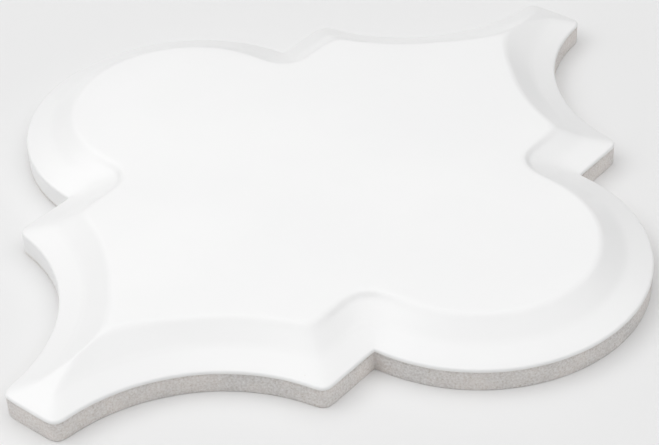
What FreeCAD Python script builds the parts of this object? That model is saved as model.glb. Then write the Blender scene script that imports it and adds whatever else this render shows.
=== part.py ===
# Arabesque wall tile: one pressed and fired piece with round side lobes, flat-cut tips and
# concave bays that nest round the lobes of the neighbouring tiles. A bevel in two slopes, a gentle
# outer band and a steeper inner one, follows the outline up to a flat field and is mitred where
# bays, shoulders and lobes meet; the cut ends of the tips keep the gentle slope all the way up.
# The back is keyed for the adhesive.
# The tile lies face up: X runs from lobe to lobe, Y from tip to tip, Z is up and the origin is
# the middle of the back. All sizes are in millimetres.
import FreeCAD, Part
import math
import os

Vector = FreeCAD.Vector
UP = Vector(0, 0, 1)

# Plan
tip_to_tip = 150.0
lobe_to_lobe = 129.0
tip_width = 12.6
lobe_radius = 30.4
grout_joint = 1.6
corner_radius = 2.0

# Face, read inwards from the outline: wall, rolled lip, gentle outer band, steeper inner band
wall_height = 4.4
lip_radius = 0.5
outer_band_width = 4.6
outer_band_rise = 1.6
inner_band_width = 4.4
inner_band_rise = 2.7
ridge_radius = 1.6
bend_chords = 3

# Keyed back
back_margin = 7.0
key_pitch = 12.0
key_rib = 3.5
key_depth = 0.8
smallest_key_share = 0.2

# Sizes that follow from those above
half_length = tip_to_tip / 2
lobe_centre = lobe_to_lobe / 2 - lobe_radius
bay_radius = lobe_radius + grout_joint
bay_centre = Vector(tip_width / 2 + bay_radius, half_length, 0)
shoulder_half_width = (lobe_to_lobe + tip_width) / 4
bevel_width = outer_band_width + inner_band_width
overall_height = wall_height + outer_band_rise + inner_band_rise
outer_slope = math.atan2(outer_band_rise, outer_band_width)
inner_slope = math.atan2(inner_band_rise, inner_band_width)
end_run = (outer_band_rise + inner_band_rise) / math.tan(outer_slope)
cutter_overrun = overall_height
quadrants = [(1, 1), (-1, 1), (-1, -1), (1, -1)]


def along(point, slope, distance):
    """The point that lies a distance up the slope from a point of the rim section."""
    return (point[0] + distance * math.cos(slope), point[1] + distance * math.sin(slope))


def bend(corner, slope_in, slope_out, radius):
    """Points on the arc that rounds a convex corner of the rim section, joined by chords."""
    turn = slope_in - slope_out
    start = along(corner, slope_in, -radius * math.tan(turn / 2))
    centre = along(start, slope_in - math.pi / 2, radius)
    swings = [slope_in - turn * step / bend_chords for step in range(bend_chords + 1)]
    return [along(centre, swing + math.pi / 2, radius) for swing in swings]


def rim_section():
    """The rim's section as points (inset, height): wall, lip, both bands and the ridge."""
    lip = bend((0.0, wall_height), math.pi / 2, outer_slope, lip_radius)
    band_meeting = (outer_band_width, wall_height + outer_band_rise)
    ridge = bend((bevel_width, overall_height), inner_slope, 0.0, ridge_radius)
    return [(0.0, 0.0)] + lip + [band_meeting] + ridge


def end_section():
    """The section of the tips' cut ends: wall, lip and one gentle slope up to its ridge."""
    lip = bend((0.0, wall_height), math.pi / 2, outer_slope, lip_radius)
    ridge = bend((end_run, overall_height), outer_slope, 0.0, ridge_radius)
    return [(0.0, 0.0)] + lip + ridge


def lines_through(points):
    """Straight edges from each point to the next."""
    return [Part.LineSegment(a, b).toShape() for a, b in zip(points, points[1:])]


def section_edges(section, place):
    """A section as edges, set in space by a function of inset and height."""
    return lines_through([place(inset, height) for inset, height in section])


def section_face(edges, corners):
    """A face bounded by section edges and the straight lines through the corner points."""
    return Part.Face(Part.Wire(Part.__sortEdges__(edges + lines_through(corners))))


def profiled_bar(section, half_width, half_run, across, run):
    """A straight bar with the section along both of its long sides."""
    def right(inset, height):
        return across * (half_width - inset) - run * half_run + UP * height

    def left(inset, height):
        return across * (inset - half_width) - run * half_run + UP * height

    top = lines_through([right(*section[-1]), left(*section[-1])])
    edges = section_edges(section, right) + top + section_edges(section, left)
    face = section_face(edges, [left(*section[0]), right(*section[0])])
    return face.extrude(run * (2 * half_run))


def profiled_lobe(section, side):
    """The half-round end of the side lobes, turned about the lobe's centre."""
    centre = Vector(side * lobe_centre, 0, 0)

    def place(inset, height):
        return centre + Vector(0, -side * (lobe_radius - inset), height)

    corners = [place(*section[-1]), centre + UP * section[-1][1], centre, place(*section[0])]
    return section_face(section_edges(section, place), corners).revolve(centre, UP, 180)


def bay_cutter(section, side, end):
    """The form that cuts one concave bay with its bevel: a cylinder that flares at the face."""
    centre = Vector(side * bay_centre.x, end * bay_centre.y, 0)
    field_inset = section[-1][0]

    def place(inset, height):
        return centre + Vector(bay_radius + inset, 0, height)

    top = Vector(0, 0, overall_height + cutter_overrun)
    bottom = Vector(0, 0, -cutter_overrun)
    corners = [place(*section[-1]), place(field_inset, top.z), centre + top, centre + bottom,
               place(0, bottom.z), place(*section[0])]
    return section_face(section_edges(section, place), corners).revolve(centre, UP, 360)


def plan_prism(inset, height):
    """A plain block with the tile's outline, drawn in by an inset."""
    half_width = shoulder_half_width - inset
    half_run = half_length - inset
    radius = lobe_radius - inset
    block = Part.makeBox(2 * half_width, 2 * half_run, height, Vector(-half_width, -half_run, 0))
    for side, end in quadrants:
        centre = Vector(side * bay_centre.x, end * bay_centre.y, 0)
        block = block.cut(Part.makeCylinder(bay_radius + inset, height, centre))
    middle = Part.makeBox(2 * lobe_centre, 2 * radius, height, Vector(-lobe_centre, -radius, 0))
    ends = [Part.makeCylinder(radius, height, Vector(side * lobe_centre, 0, 0))
            for side in (1, -1)]
    return block.fuse([middle] + ends).removeSplitter()


def rounded_outline():
    """The outline block with the upright edges of its tips and shoulders rounded."""
    block = plan_prism(0, overall_height)
    corners = []
    for edge in block.Edges:
        start = edge.valueAt(edge.FirstParameter)
        end = edge.valueAt(edge.LastParameter)
        upright = abs(abs(end.z - start.z) - overall_height) < Part.Precision.confusion()
        if upright and abs(start.y) > lobe_radius:
            corners.append(edge)
    return block.makeFillet(corner_radius, corners)


def pressed_body():
    """The bevelled body: a strip from tip to tip with its bays cut, joined to the side lobes."""
    rim = rim_section()
    x_axis = Vector(1, 0, 0)
    y_axis = Vector(0, 1, 0)
    strip = profiled_bar(rim, shoulder_half_width, half_length, x_axis, y_axis)
    ends = profiled_bar(end_section(), half_length, shoulder_half_width, y_axis, x_axis)
    strip = strip.common(ends)
    for side, end in quadrants:
        strip = strip.cut(bay_cutter(rim, side, end))
    lobes = profiled_bar(rim, lobe_radius, lobe_centre, y_axis, x_axis)
    lobes = lobes.fuse([profiled_lobe(rim, 1), profiled_lobe(rim, -1)])
    return strip.fuse(lobes).removeSplitter()


def key_pockets():
    """The recesses of the keyed back: a square grid kept inside a plain margin."""
    inner_plan = plan_prism(back_margin, key_depth)
    pocket_side = key_pitch - key_rib
    columns = math.ceil(lobe_to_lobe / 2 / key_pitch)
    rows = math.ceil(half_length / key_pitch)
    pockets = []
    for column in range(-columns, columns):
        for row in range(-rows, rows):
            corner = Vector(column * key_pitch + key_rib / 2, row * key_pitch + key_rib / 2, 0)
            pocket = Part.makeBox(pocket_side, pocket_side, key_depth, corner)
            pocket = pocket.common(inner_plan)
            if pocket.Volume > smallest_key_share * pocket_side ** 2 * key_depth:
                pockets.append(pocket)
    return pockets


def arabesque_tile():
    """The finished tile: the pressed body with rounded corners and a keyed back."""
    tile = pressed_body().common(rounded_outline())
    return tile.cut(key_pockets()).removeSplitter().Solids[0]


os.makedirs("parts", exist_ok=True)
tile = arabesque_tile()
tile.exportStep("parts/arabesque_tile.step")
print("tile valid", tile.isValid(), "volume", round(tile.Volume, 1), tile.optimalBoundingBox(False))
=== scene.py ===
import math
import bmesh
import bpy
import numpy as np
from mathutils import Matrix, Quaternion, Vector, noise


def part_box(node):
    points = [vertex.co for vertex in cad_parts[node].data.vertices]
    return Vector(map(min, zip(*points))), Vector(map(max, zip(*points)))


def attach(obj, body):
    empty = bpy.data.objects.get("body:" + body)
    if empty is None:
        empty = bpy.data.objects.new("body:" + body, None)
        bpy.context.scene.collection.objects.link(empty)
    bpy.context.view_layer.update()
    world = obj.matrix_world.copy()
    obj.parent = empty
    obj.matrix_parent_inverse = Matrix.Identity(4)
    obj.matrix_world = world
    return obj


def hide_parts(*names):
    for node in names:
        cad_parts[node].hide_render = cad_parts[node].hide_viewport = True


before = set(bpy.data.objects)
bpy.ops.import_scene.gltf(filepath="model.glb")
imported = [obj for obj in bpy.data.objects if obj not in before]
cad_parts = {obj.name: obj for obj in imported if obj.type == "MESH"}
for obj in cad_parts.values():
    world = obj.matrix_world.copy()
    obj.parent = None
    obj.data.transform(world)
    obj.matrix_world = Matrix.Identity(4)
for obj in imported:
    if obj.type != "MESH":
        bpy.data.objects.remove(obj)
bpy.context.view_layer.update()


# Glazed tile: one pressed clay biscuit, flooded with white glaze on its face and fired once more.
# One rim section runs round the whole outline, from the foot of the wall over the rolled lip and
# the two bands of the bevel to the flat field; the cut tips keep the outer band's slope throughout.
tile_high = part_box("arabesque_tile")[1]
half_length = tile_high.y
half_width = tile_high.x
field_height = tile_high.z
tip_width = 0.0126
lobe_radius = 0.0304
grout_joint = 0.0016
bay_radius = lobe_radius + grout_joint
bay_x = tip_width / 2 + bay_radius
lobe_x = half_width - lobe_radius
shoulder_x = half_width / 2 + tip_width / 4

wall_height = 0.0044
outer_band_width = 0.0046
outer_band_rise = 0.0016
inner_band_width = 0.0044
inner_band_rise = field_height - wall_height - outer_band_rise
bevel_width = outer_band_width + inner_band_width
outer_slope = math.atan2(outer_band_rise, outer_band_width)
inner_slope = math.atan2(inner_band_rise, inner_band_width)
foot_radius = 0.00025
lip_radius = 0.0005
hollow_radius = 0.0080
ridge_radius = 0.0028
field_margin = 0.0010
glaze_thickness = 0.00006

# The glaze stops just below the lip in a wavering line. It ran further down the walls on the side
# that stood lowest.
glaze_line = 0.0039
glaze_run = 0.00335
glaze_wander = 0.00015
broad_waver, fine_waver = 170, 620
glaze_fade = 0.0002
run_direction = Vector((-1.0, 0.0, 0.0))
run_start = 0.0065
run_end = 0.0140

# Painted shade darkens the bare walls low down in their inner corners, beside the notches.
corner_shade_most = 0.4
corner_shade_reach = 0.0012
corner_shade_point = (shoulder_x, math.sqrt(lobe_radius ** 2 - (shoulder_x - lobe_x) ** 2))

# The outline is laid out a quarter at a time, from the middle of a tip to the middle of a lobe.
tip_steps = 12
bay_steps = 80
shoulder_steps = 22
lobe_steps = 78
shoulder_start = tip_steps + bay_steps
notch = shoulder_start + shoulder_steps
quarter_steps = notch + lobe_steps
merge_distance = 1e-6

# How far the press and the glaze soften each stretch of the outline, of the band meeting, of the
# inner band below its ridge and of the field's edge. The marks run from the tip over the bay, the
# shoulder and the notch to the lobe.
softness_marks = (0, tip_steps, shoulder_start - bay_steps // 2, shoulder_start,
                  notch - shoulder_steps // 2, notch, notch + lobe_steps // 3, quarter_steps)
outline_softness = (0.0015, 0.0015, 0.0010, 0.0013, 0.0009, 0.0003, 0.0010, 0.0010)
meeting_softness = (0.0007, 0.0007, 0.0012, 0.0014, 0.0026, 0.0036, 0.0026, 0.0012)
flank_softness = (0.0005, 0.0005, 0.0012, 0.0014, 0.0024, 0.0034, 0.0024, 0.0012)
field_softness = (0.0012, 0.0012, 0.0014, 0.0015, 0.0032, 0.0046, 0.0032, 0.0014)
flank_margin = 0.0014
flank_inset = bevel_width - flank_margin
softness_levels = (0.0, outer_band_width, flank_inset, bevel_width)

# Beside the notches the inner band is steepest just under the field's edge.
notch_step = 0.00045
step_shares = (0.0, 0.0, 0.0, 0.3, 1.0, 1.0, 0.3, 0.0)

# The field draws back from the tips: its edge there lies further in than along the bays.
field_pull = 0.0028
pull_start = 0.045
pull_end = 0.062


def eased(value, start, end):
    """A smooth rise from 0 at the start to 1 at the end."""
    share = np.clip((value - start) / (end - start), 0, 1)
    return share ** 2 * (3 - 2 * share)


def rim_quarter(inset, end_inset):
    """One quarter of the outline drawn in by an inset, from the tip's middle to the lobe's."""
    bay = bay_radius + inset
    corner_x = bay_x - math.sqrt(bay ** 2 - end_inset ** 2)
    corner_y = half_length - end_inset
    if corner_x < 0:
        corner_x = 0.0
        corner_y = half_length - math.sqrt(bay ** 2 - bay_x ** 2)
    tip = np.linspace((0.0, corner_y), (corner_x, corner_y), tip_steps, endpoint=False)

    edge_x = shoulder_x - inset
    start = math.atan2(corner_y - half_length, corner_x - bay_x) % math.tau
    end = math.pi + math.acos((bay_x - edge_x) / bay)
    turns = np.linspace(start, end, bay_steps, endpoint=False)
    bay_arc = np.column_stack((bay_x + bay * np.cos(turns), half_length + bay * np.sin(turns)))

    radius = lobe_radius - inset
    shoulder_y = half_length + bay * math.sin(end)
    beyond = max(0.0, edge_x - lobe_x)
    notch_y = math.sqrt(radius ** 2 - beyond ** 2)
    shoulder = np.linspace((edge_x, shoulder_y), (edge_x, notch_y), shoulder_steps, endpoint=False)

    straight = max(0.0, lobe_x - edge_x)
    sweep = math.atan2(notch_y, beyond)
    run = np.linspace(0.0, straight + radius * sweep, lobe_steps + 1)
    angle = sweep - np.maximum(0.0, run - straight) / radius
    centre_x = lobe_x + np.minimum(0.0, run - straight)
    lobe = np.column_stack((centre_x + radius * np.cos(angle), radius * np.sin(angle)))
    return np.vstack((tip, bay_arc, shoulder, lobe))


def whole_loop(quarter):
    """A quarter's values mirrored into a closed loop: half the tile, then its other half."""
    half = np.vstack((quarter, quarter[-2::-1] * (1, -1)))
    return np.vstack((half, half[-2:0:-1] * (-1, 1)))


def all_round(values):
    """Values along a quarter of the outline, mirrored into a closed ring."""
    half = np.concatenate((values, values[-2::-1]))
    return np.concatenate((half, half[-2:0:-1]))


def softened(loop, reach):
    """The loop with its corners rounded: each point is averaged with those within its reach."""
    step = np.linalg.norm(np.roll(loop, -1, axis=0) - loop, axis=1)
    place = np.cumsum(step) - step
    apart = np.abs(place[:, None] - place[None, :])
    apart = np.minimum(apart, step.sum() - apart)
    weight = np.exp(-0.5 * (apart / reach[:, None]) ** 2) * (step + np.roll(step, 1))
    return (weight @ loop) / weight.sum(axis=1)[:, None]


def rim_loop(inset, height):
    """The outline of one row of the rim, softened; the cut tips follow their own slope."""
    end_inset = max(inset, (height - wall_height) / math.tan(outer_slope))
    quarter = rim_quarter(inset, end_inset)
    drawn_back = np.interp(inset, (outer_band_width, bevel_width), (0.0, field_pull))
    quarter[:, 1] -= drawn_back * eased(quarter[:, 1], pull_start, pull_end)

    stations = np.arange(quarter_steps + 1)
    stretches = zip(outline_softness, meeting_softness, flank_softness, field_softness)
    softness = [np.interp(inset, softness_levels, stretch) for stretch in stretches]
    reach = all_round(np.interp(stations, softness_marks, softness))
    loop = softened(whole_loop(quarter), reach)

    shift = np.interp(inset, softness_levels, (0.0, 0.0, notch_step, 0.0))
    shift = shift * all_round(np.interp(stations, softness_marks, step_shares))
    run = np.roll(loop, -1, axis=0) - np.roll(loop, 1, axis=0)
    length = np.maximum(np.linalg.norm(run, axis=1), merge_distance)
    inward = np.column_stack((run[:, 1], -run[:, 0])) / length[:, None]
    return loop + inward * shift[:, None]


def along(point, slope, distance):
    """The point that lies a distance up the slope from a point of the rim section."""
    return (point[0] + distance * math.cos(slope), point[1] + distance * math.sin(slope))


def bend(corner, slope_in, slope_out, radius, chords):
    """Points on the arc that rounds a corner of the rim section."""
    turn = slope_in - slope_out
    side = math.copysign(math.pi / 2, turn)
    start = along(corner, slope_in, -radius * math.tan(abs(turn) / 2))
    centre = along(start, slope_in - side, radius)
    swings = [slope_in - turn * step / chords for step in range(chords + 1)]
    return [along(centre, swing + side, radius) for swing in swings]


def between(start, end, parts):
    """Points that part the straight run from one point to another, without its ends."""
    shares = [step / parts for step in range(1, parts)]
    return [(start[0] + (end[0] - start[0]) * share, start[1] + (end[1] - start[1]) * share)
            for share in shares]


# The rim section as points of inset and height: bare wall first, then the glazed face.
upright = math.pi / 2
foot = bend((glaze_thickness, 0.0), math.pi, upright, foot_radius, chords=4)
bare_top = (glaze_thickness, glaze_line)
glaze_edge = bend((0.0, glaze_line), math.pi, upright, glaze_thickness, chords=4)
lip = bend((0.0, wall_height), upright, outer_slope, lip_radius, chords=8)
hollow = bend((outer_band_width, wall_height + outer_band_rise), outer_slope, inner_slope,
              hollow_radius, chords=8)
ridge = bend((bevel_width, field_height), inner_slope, 0.0, ridge_radius, chords=10)
bare_rows = foot + between(foot[-1], bare_top, parts=6) + [bare_top]
glazed_rows = (glaze_edge[1:] + between(glaze_edge[-1], lip[0], parts=8) + lip
               + between(lip[-1], hollow[0], parts=5) + hollow
               + between(hollow[-1], ridge[0], parts=8) + ridge
               + [along(ridge[-1], 0.0, field_margin)])

# The key pockets start from the pressed body's own pocket floors, brought down to the back, and
# are then drawn in step by step: rounded mouth, drafted wall, rounded floor.
key_depth = 0.0008
key_round = 0.0002
key_draft = 0.0001
key_slope = math.atan2(key_depth, key_draft)
pocket_rows = (bend((key_round, 0.0), 0.0, key_slope, key_round, chords=3)
               + bend((key_round + key_draft, key_depth), key_slope, 0.0, key_round, chords=3))
tile = bmesh.new()
tile.from_mesh(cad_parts["arabesque_tile"].data)
bmesh.ops.remove_doubles(tile, verts=tile.verts, dist=merge_distance)
others = [face for face in tile.faces
          if any(abs(vert.co.z - key_depth) > merge_distance for vert in face.verts)]
bmesh.ops.delete(tile, geom=others, context="FACES")
flat_angle = math.radians(1)
bmesh.ops.dissolve_limit(tile, angle_limit=flat_angle, verts=tile.verts, edges=tile.edges)
bmesh.ops.translate(tile, verts=tile.verts, vec=(0, 0, -key_depth))
pocket_floors = list(tile.faces)
for (inset, depth), (next_inset, next_depth) in zip(pocket_rows, pocket_rows[1:]):
    bmesh.ops.inset_individual(tile, faces=pocket_floors, thickness=next_inset - inset,
                               depth=depth - next_depth, use_even_offset=True)

# The rim is a ring of edges at the foot, drawn up and in row by row to the edge of the field.
station = tile.verts.layers.int.new("station")
thin_glaze = tile.verts.layers.float.new("thin_glaze")
# The next layer holds painted shade for the inner corners of the bare walls.
painted_corner_shade = tile.verts.layers.float.new("painted_corner_shade")
ring = bmesh.ops.create_circle(tile, cap_ends=False, segments=4 * quarter_steps,
                               radius=half_width)["verts"]
rim = [edge for edge in tile.edges if edge.is_wire]
for number, vert in enumerate(ring):
    vert[station] = number


def glaze_drop(x, y):
    """How far below its highest line the wavering lower edge of the glaze lies at a point."""
    place = Vector((x, y, 0.0))
    run = glaze_run * eased(place.dot(run_direction), run_start, run_end)
    waver = noise.noise(place * broad_waver) + noise.noise(place * fine_waver) / 2
    highest_waver = 1.5
    return run + glaze_wander * (waver / highest_waver + 1) / 2


def lay(ring, inset, height):
    """Sets a ring of vertices on the outline of a row; rows of the wall follow the glaze line."""
    loop = rim_loop(inset, height)
    wall_marks = (foot[-1][1], glaze_line, glaze_edge[-1][1], lip[0][1])
    follow = np.interp(height, wall_marks, (0, 1, 1, 0))
    for vert in ring:
        x, y = loop[vert[station]]
        drop = glaze_drop(x, y)
        vert.co = (x, y, height - follow * drop)
        vert[thin_glaze] = np.clip(1 - (vert.co.z - glaze_line + drop) / glaze_fade, 0, 1)
        # Painted shade: the bare wall darkens near each notch corner, most at the foot, fading
        # upward.
        away = math.dist((abs(x), abs(y)), corner_shade_point) / corner_shade_reach
        vert[painted_corner_shade] = corner_shade_most * math.exp(-away ** 2) * max(0.0, 1 - height / wall_height)


glaze_slot, biscuit_slot = 0, 1
rows = bare_rows + glazed_rows
lay(ring, *rows[0])
for face in tile.faces:
    face.material_index = biscuit_slot
for number, (inset, height) in enumerate(rows[1:], 1):
    grown = bmesh.ops.extrude_edge_only(tile, edges=rim)["geom"]
    rim = [item for item in grown if isinstance(item, bmesh.types.BMEdge) and item.is_boundary]
    lay([item for item in grown if isinstance(item, bmesh.types.BMVert)], inset, height)
    for item in grown:
        if isinstance(item, bmesh.types.BMFace):
            item.material_index = biscuit_slot if number < len(bare_rows) else glaze_slot
bmesh.ops.edgeloop_fill(tile, edges=rim, mat_nr=glaze_slot)
back_edges = [edge for edge in tile.edges if edge.is_boundary]
land = bmesh.ops.triangle_fill(tile, use_beauty=True, edges=back_edges, normal=(0, 0, -1))["geom"]
for item in land:
    if isinstance(item, bmesh.types.BMFace):
        item.material_index = biscuit_slot
bmesh.ops.remove_doubles(tile, verts=tile.verts, dist=merge_distance)
bmesh.ops.dissolve_degenerate(tile, edges=tile.edges, dist=merge_distance)
bmesh.ops.recalc_face_normals(tile, faces=tile.faces)
tile_mesh = bpy.data.meshes.new("glazed_tile")
tile.to_mesh(tile_mesh)
tile.free()
tile_mesh.shade_smooth()
sharp_angle = math.radians(40)
tile_mesh.set_sharp_from_angle(angle=sharp_angle)
glazed_tile = bpy.data.objects.new("glazed_tile", tile_mesh)
bpy.context.scene.collection.objects.link(glazed_tile)


def add_node(tree, kind, sockets, **settings):
    """Adds a node, with settings of its own and sockets that hold values or other nodes' outputs."""
    node = tree.nodes.new(kind)
    for name, value in settings.items():
        setattr(node, name, value)
    for name, value in sockets.items():
        if isinstance(value, bpy.types.NodeSocket):
            tree.links.new(value, node.inputs[name])
        else:
            node.inputs[name].default_value = value
    return node


def mix_colors(tree, share, first, second, blend_type="MIX"):
    """Adds a node that mixes two colours by a share, and gives its colour output."""
    first_color, second_color, mixed_color = 6, 7, 2
    node = add_node(tree, "ShaderNodeMix",
                    {"Factor": share, first_color: first, second_color: second},
                    data_type="RGBA", blend_type=blend_type)
    return node.outputs[mixed_color]


# Fired surface: broad clouding, fine grain and scattered specks, as both glaze and biscuit have.
# Specks are pinholes in the glaze and grains of grog in the biscuit.
fired_surface = bpy.data.node_groups.new("fired_surface", "ShaderNodeTree")
for name, kind in (("Body Color", "NodeSocketColor"), ("Cloud Color", "NodeSocketColor"),
                   ("Speck Color", "NodeSocketColor"), ("Cloud Scale", "NodeSocketFloat"),
                   ("Grain Scale", "NodeSocketFloat"), ("Grain Tone", "NodeSocketFloat"),
                   ("Speck Scale", "NodeSocketFloat"), ("Speck Size", "NodeSocketFloat"),
                   ("Speck Depth", "NodeSocketFloat")):
    fired_surface.interface.new_socket(name, in_out="INPUT", socket_type=kind)
for name, kind in (("Color", "NodeSocketColor"), ("Clouding", "NodeSocketFloat"),
                   ("Height", "NodeSocketFloat")):
    fired_surface.interface.new_socket(name, in_out="OUTPUT", socket_type=kind)
given = fired_surface.nodes.new("NodeGroupInput").outputs
place = fired_surface.nodes.new("ShaderNodeTexCoord").outputs["Object"]
clouds = add_node(fired_surface, "ShaderNodeTexNoise",
                  {"Vector": place, "Scale": given["Cloud Scale"], "Detail": 4.0})
grain = add_node(fired_surface, "ShaderNodeTexNoise",
                 {"Vector": place, "Scale": given["Grain Scale"], "Detail": 3.0})
cells = add_node(fired_surface, "ShaderNodeTexVoronoi",
                 {"Vector": place, "Scale": given["Speck Scale"]})
spots = add_node(fired_surface, "ShaderNodeMapRange",
                 {"Value": cells.outputs["Distance"], "From Min": given["Speck Size"],
                  "From Max": 0.0, "To Min": 0.0, "To Max": 1.0}, interpolation_type="SMOOTHSTEP")
empty_cells = 0.5
chosen = add_node(fired_surface, "ShaderNodeMath", {0: cells.outputs["Color"], 1: empty_cells},
                  operation="GREATER_THAN")
specks = add_node(fired_surface, "ShaderNodeMath",
                  {0: spots.outputs["Result"], 1: chosen.outputs["Value"]}, operation="MULTIPLY")
clouding = add_node(fired_surface, "ShaderNodeMapRange",
                    {"Value": clouds.outputs["Fac"], "From Min": 0.35, "From Max": 0.65})
clouded = mix_colors(fired_surface, clouding.outputs["Result"], given["Body Color"],
                     given["Cloud Color"])
speckled = mix_colors(fired_surface, specks.outputs["Value"], clouded, given["Speck Color"])
grained = mix_colors(fired_surface, given["Grain Tone"], speckled, grain.outputs["Fac"],
                     blend_type="OVERLAY")
pitted = add_node(fired_surface, "ShaderNodeMath",
                  {0: specks.outputs["Value"], 1: given["Speck Depth"]}, operation="MULTIPLY")
relief = add_node(fired_surface, "ShaderNodeMath",
                  {0: grain.outputs["Fac"], 1: pitted.outputs["Value"]}, operation="SUBTRACT")
add_node(fired_surface, "NodeGroupOutput",
         {"Color": grained, "Clouding": clouding.outputs["Result"],
          "Height": relief.outputs["Value"]})


def fired_material(name, roughness, relief, looks):
    """A material whose Principled shader takes roughness and relief from the fired surface."""
    material = bpy.data.materials.new(name)
    material.use_nodes = True
    tree = material.node_tree
    shader = tree.nodes["Principled BSDF"]
    surface = add_node(tree, "ShaderNodeGroup", {}, node_tree=fired_surface)
    for socket, value in looks.items():
        surface.inputs[socket].default_value = value
    sheen = add_node(tree, "ShaderNodeMapRange",
                     {"Value": surface.outputs["Clouding"], "To Min": roughness[0],
                      "To Max": roughness[1]})
    bump = add_node(tree, "ShaderNodeBump",
                    {"Height": surface.outputs["Height"], "Distance": relief})
    tree.links.new(surface.outputs["Color"], shader.inputs["Base Color"])
    tree.links.new(sheen.outputs["Result"], shader.inputs["Roughness"])
    tree.links.new(bump.outputs["Normal"], shader.inputs["Normal"])
    return material


glaze = fired_material("white_glaze", roughness=(0.29, 0.36), relief=0.000012, looks={
    "Body Color": (0.905, 0.905, 0.903, 1), "Cloud Color": (0.890, 0.890, 0.890, 1),
    "Speck Color": (0.78, 0.77, 0.75, 1), "Cloud Scale": 35.0, "Grain Scale": 420.0,
    "Grain Tone": 0.01, "Speck Scale": 240.0, "Speck Size": 0.035, "Speck Depth": 3.0})
biscuit = fired_material("bare_biscuit", roughness=(0.82, 0.95), relief=0.00010, looks={
    "Body Color": (0.79, 0.75, 0.72, 1), "Cloud Color": (0.70, 0.68, 0.665, 1),
    "Speck Color": (0.63, 0.59, 0.545, 1), "Cloud Scale": 130.0, "Grain Scale": 2600.0,
    "Grain Tone": 0.85, "Speck Scale": 2200.0, "Speck Size": 0.42, "Speck Depth": -0.4})


def tint(material, attribute, color):
    """Tints a material's colour where an attribute of the tile's surface is strong."""
    tree = material.node_tree
    base_color = tree.nodes["Principled BSDF"].inputs["Base Color"]
    strength = add_node(tree, "ShaderNodeAttribute", {}, attribute_name=attribute).outputs["Fac"]
    tinted = mix_colors(tree, strength, base_color.links[0].from_socket, color)
    tree.links.new(tinted, base_color)


# The biscuit shows through where the glaze thins out at its lower edge, and painted shade
# darkens the inner corners of the bare walls, most at their foot.
thin_glaze_color = (0.78, 0.75, 0.72, 1)
painted_shade_color = (0.40, 0.36, 0.33, 1)
tint(glaze, "thin_glaze", thin_glaze_color)
tint(biscuit, "painted_corner_shade", painted_shade_color)
tile_mesh.materials.append(glaze)
tile_mesh.materials.append(biscuit)

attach(glazed_tile, "root")
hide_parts("arabesque_tile")


# Floor: a plain studio surface in pale matt paint, which the tile lies on.
# It is the stage for the tile and no part of it.
floor_mesh = bpy.data.meshes.new("floor")
floor_plane = bmesh.new()
bmesh.ops.create_grid(floor_plane, x_segments=1, y_segments=1, size=3.0)
floor_plane.to_mesh(floor_mesh)
floor_plane.free()
floor = bpy.data.objects.new("floor", floor_mesh)
bpy.context.scene.collection.objects.link(floor)
floor_paint = bpy.data.materials.new("pale_floor")
floor_paint.use_nodes = True
floor_shader = floor_paint.node_tree.nodes["Principled BSDF"]
floor_shader.inputs["Base Color"].default_value = (0.8, 0.8, 0.8, 1)
floor_shader.inputs["Roughness"].default_value = 0.8
floor_mesh.materials.append(floor_paint)


# Studio light: a wide soft ceiling over the tile, smaller panels beyond both lobes and beyond the
# left bay, and a faint white surround that fills the shadows.
world = bpy.data.worlds.new("white_surround")
world.use_nodes = True
surround = world.node_tree.nodes["Background"]
surround.inputs["Color"].default_value = (1, 1, 1, 1)
surround.inputs["Strength"].default_value = 0.01
bpy.context.scene.world = world


def soft_panel(name, size, power, location):
    """A square panel of even light that faces the tile."""
    panel_light = bpy.data.lights.new(name, "AREA")
    panel_light.shape = "SQUARE"
    panel_light.size = size
    panel_light.energy = power
    panel = bpy.data.objects.new(name, panel_light)
    panel.location = location
    panel.rotation_mode = "QUATERNION"
    panel.rotation_quaternion = panel.location.to_track_quat("Z", "Y")
    bpy.context.scene.collection.objects.link(panel)


soft_panel("ceiling", size=3.0, power=31.0, location=(0, 0, 1.2))
soft_panel("left_panel", size=1.7, power=2.7, location=(-1.06, 0.09, 0.75))
soft_panel("bay_panel", size=1.7, power=6.4, location=(-0.70, -0.80, 0.75))
soft_panel("right_panel", size=1.7, power=4.4, location=(1.06, 0.09, 0.75))


# Camera: a long lens that looks down on the tile from beyond its near tip and its right lobe,
# tilted a little, as in the photograph.
view_azimuth = math.radians(40.76)
view_elevation = math.radians(36.98)
view_roll = math.radians(-2.69)
view_distance = 0.3626
view_target = Vector((0.00389, -0.00354, 0.0))
camera_data = bpy.data.cameras.new("camera")
camera_data.lens = 109.18
camera_data.sensor_width = 36.0
camera_data.clip_start = 0.01
camera = bpy.data.objects.new("camera", camera_data)
back = Vector((math.sin(view_azimuth) * math.cos(view_elevation),
               -math.cos(view_azimuth) * math.cos(view_elevation), math.sin(view_elevation)))
camera.location = view_target + back * view_distance
camera.rotation_mode = "QUATERNION"
camera.rotation_quaternion = back.to_track_quat("Z", "Y") @ Quaternion((0, 0, 1), view_roll)
bpy.context.scene.collection.objects.link(camera)
bpy.context.scene.camera = camera
bpy.context.scene.view_settings.view_transform = "Standard"
